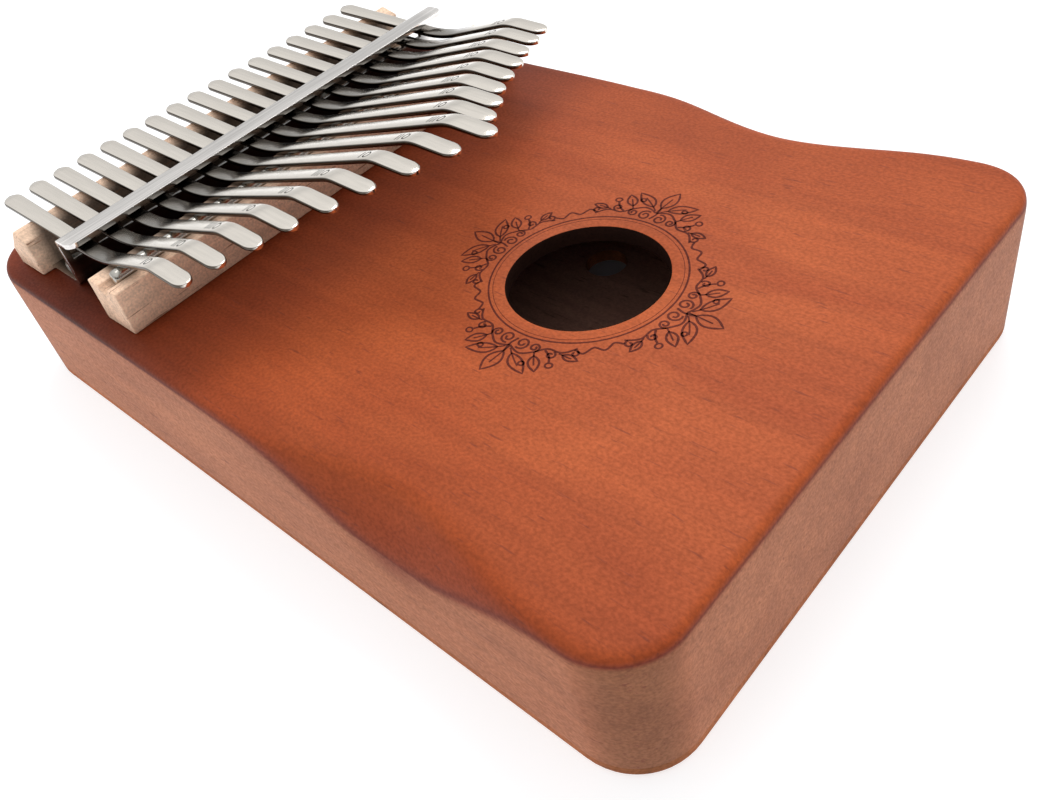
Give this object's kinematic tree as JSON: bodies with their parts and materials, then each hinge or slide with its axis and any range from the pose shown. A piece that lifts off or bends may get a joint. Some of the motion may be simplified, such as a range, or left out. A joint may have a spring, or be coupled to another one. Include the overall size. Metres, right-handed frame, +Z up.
{
  "type": "mbira",
  "caption": "Hollow wooden box mbira: sprung steel tines in a slotted steel bracket over two beech bridges, with a round sound hole and an arm scoop in each long side.",
  "frame": {"origin": "on the resting face of the back plate, under the centre of the box", "axes": "+Z up out of the soundboard, +Y along the box from the sound hole end to the tines' fixed end, +X across the row of tines"},
  "size_m": [0.13, 0.196, 0.0605],
  "materials": {
    "mahogany": "satin orange-brown stain on mahogany",
    "block_wood": "unfinished sawn wood",
    "beech": "unvarnished beech",
    "rod_steel": "polished",
    "bracket_steel": "polished nickel, fine brushing on top",
    "screw_steel": "plain zinc",
    "tine_steel": "satin nickel"
  },
  "bodies": {
    "resonator": {"soundboard": "mahogany", "side_frame": "mahogany", "back_plate": "mahogany", "mounting_block": "block_wood", "front_bridge": "beech", "bridge_rod": "rod_steel", "rear_block": "beech", "tine_bracket": "bracket_steel", "bracket_screws": "screw_steel"},
    "tine_01": {"tine_01": "tine_steel"},
    "tine_02": {"tine_02": "tine_steel"},
    "tine_03": {"tine_03": "tine_steel"},
    "tine_04": {"tine_04": "tine_steel"},
    "tine_05": {"tine_05": "tine_steel"},
    "tine_06": {"tine_06": "tine_steel"},
    "tine_07": {"tine_07": "tine_steel"},
    "tine_08": {"tine_08": "tine_steel"},
    "tine_09": {"tine_09": "tine_steel"},
    "tine_10": {"tine_10": "tine_steel"},
    "tine_11": {"tine_11": "tine_steel"},
    "tine_12": {"tine_12": "tine_steel"},
    "tine_13": {"tine_13": "tine_steel"},
    "tine_14": {"tine_14": "tine_steel"},
    "tine_15": {"tine_15": "tine_steel"},
    "tine_16": {"tine_16": "tine_steel"},
    "tine_17": {"tine_17": "tine_steel"}
  },
  "joints": [
    {"name": "tine_01_pluck", "type": "hinge", "parent": "resonator", "child": "tine_01", "pos_m": [-0.0532, 0.0369, 0.0432], "axis": [1, 0, 0], "range_deg": [-0.5, 1], "stiffness_Nm_per_rad": 0.4},
    {"name": "tine_02_pluck", "type": "hinge", "parent": "resonator", "child": "tine_02", "pos_m": [-0.04655, 0.0369, 0.0432], "axis": [1, 0, 0], "range_deg": [-0.5, 1], "stiffness_Nm_per_rad": 0.4},
    {"name": "tine_03_pluck", "type": "hinge", "parent": "resonator", "child": "tine_03", "pos_m": [-0.0399, 0.0369, 0.0432], "axis": [1, 0, 0], "range_deg": [-0.5, 1], "stiffness_Nm_per_rad": 0.4},
    {"name": "tine_04_pluck", "type": "hinge", "parent": "resonator", "child": "tine_04", "pos_m": [-0.03325, 0.0369, 0.0432], "axis": [1, 0, 0], "range_deg": [-0.5, 1], "stiffness_Nm_per_rad": 0.4},
    {"name": "tine_05_pluck", "type": "hinge", "parent": "resonator", "child": "tine_05", "pos_m": [-0.0266, 0.0369, 0.0432], "axis": [1, 0, 0], "range_deg": [-0.5, 1], "stiffness_Nm_per_rad": 0.4},
    {"name": "tine_06_pluck", "type": "hinge", "parent": "resonator", "child": "tine_06", "pos_m": [-0.01995, 0.0369, 0.0432], "axis": [1, 0, 0], "range_deg": [-0.5, 1], "stiffness_Nm_per_rad": 0.4},
    {"name": "tine_07_pluck", "type": "hinge", "parent": "resonator", "child": "tine_07", "pos_m": [-0.0133, 0.0369, 0.0432], "axis": [1, 0, 0], "range_deg": [-0.5, 1], "stiffness_Nm_per_rad": 0.4},
    {"name": "tine_08_pluck", "type": "hinge", "parent": "resonator", "child": "tine_08", "pos_m": [-0.00665, 0.0369, 0.0432], "axis": [1, 0, 0], "range_deg": [-0.5, 1], "stiffness_Nm_per_rad": 0.4},
    {"name": "tine_09_pluck", "type": "hinge", "parent": "resonator", "child": "tine_09", "pos_m": [0, 0.0369, 0.0432], "axis": [1, 0, 0], "range_deg": [-0.5, 1], "stiffness_Nm_per_rad": 0.4},
    {"name": "tine_10_pluck", "type": "hinge", "parent": "resonator", "child": "tine_10", "pos_m": [0.00665, 0.0369, 0.0432], "axis": [1, 0, 0], "range_deg": [-0.5, 1], "stiffness_Nm_per_rad": 0.4},
    {"name": "tine_11_pluck", "type": "hinge", "parent": "resonator", "child": "tine_11", "pos_m": [0.0133, 0.0369, 0.0432], "axis": [1, 0, 0], "range_deg": [-0.5, 1], "stiffness_Nm_per_rad": 0.4},
    {"name": "tine_12_pluck", "type": "hinge", "parent": "resonator", "child": "tine_12", "pos_m": [0.01995, 0.0369, 0.0432], "axis": [1, 0, 0], "range_deg": [-0.5, 1], "stiffness_Nm_per_rad": 0.4},
    {"name": "tine_13_pluck", "type": "hinge", "parent": "resonator", "child": "tine_13", "pos_m": [0.0266, 0.0369, 0.0432], "axis": [1, 0, 0], "range_deg": [-0.5, 1], "stiffness_Nm_per_rad": 0.4},
    {"name": "tine_14_pluck", "type": "hinge", "parent": "resonator", "child": "tine_14", "pos_m": [0.03325, 0.0369, 0.0432], "axis": [1, 0, 0], "range_deg": [-0.5, 1], "stiffness_Nm_per_rad": 0.4},
    {"name": "tine_15_pluck", "type": "hinge", "parent": "resonator", "child": "tine_15", "pos_m": [0.0399, 0.0369, 0.0432], "axis": [1, 0, 0], "range_deg": [-0.5, 1], "stiffness_Nm_per_rad": 0.4},
    {"name": "tine_16_pluck", "type": "hinge", "parent": "resonator", "child": "tine_16", "pos_m": [0.04655, 0.0369, 0.0432], "axis": [1, 0, 0], "range_deg": [-0.5, 1], "stiffness_Nm_per_rad": 0.4},
    {"name": "tine_17_pluck", "type": "hinge", "parent": "resonator", "child": "tine_17", "pos_m": [0.0532, 0.0369, 0.0432], "axis": [1, 0, 0], "range_deg": [-0.5, 1], "stiffness_Nm_per_rad": 0.4}
  ]
}
